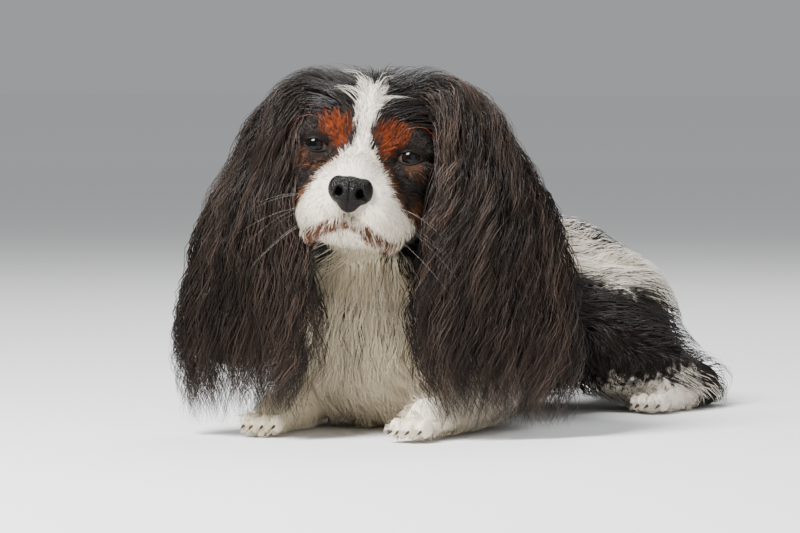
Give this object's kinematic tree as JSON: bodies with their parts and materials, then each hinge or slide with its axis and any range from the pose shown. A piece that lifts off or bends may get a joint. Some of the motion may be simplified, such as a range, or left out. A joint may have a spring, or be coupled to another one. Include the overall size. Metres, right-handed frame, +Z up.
{
  "type": "cavalier king charles spaniel",
  "caption": "Life-size still model of a long-eared toy spaniel lying on its chest with its head raised and turned, for display or staging.",
  "frame": {"origin": "on the floor under the breastbone, on the torso's flat where it rests", "axes": "+Z up; the dog faces -Y and its left side is +X; the head is turned towards its left"},
  "size_m": [0.277, 0.6412, 0.2394],
  "materials": {
    "coat_black": "long silky black hair with a brown-grey sheen",
    "coat_white": "soft white to cream hair",
    "coat_roan": "silky white hair mixed with black patches",
    "eye": "wet, very dark brown",
    "nose_leather": "damp, finely pebbled black skin"
  },
  "bodies": {
    "root": {"head": "coat_black", "neck": "coat_white", "torso": "coat_roan", "tail": "coat_black", "foreleg_left": "coat_white", "foreleg_right": "coat_white", "hindleg_left": "coat_black", "hindleg_right": "coat_black", "ear_left": "coat_black", "ear_right": "coat_black", "eye_left": "eye", "eye_right": "eye", "nose": "nose_leather"}
  },
  "joints": []
}
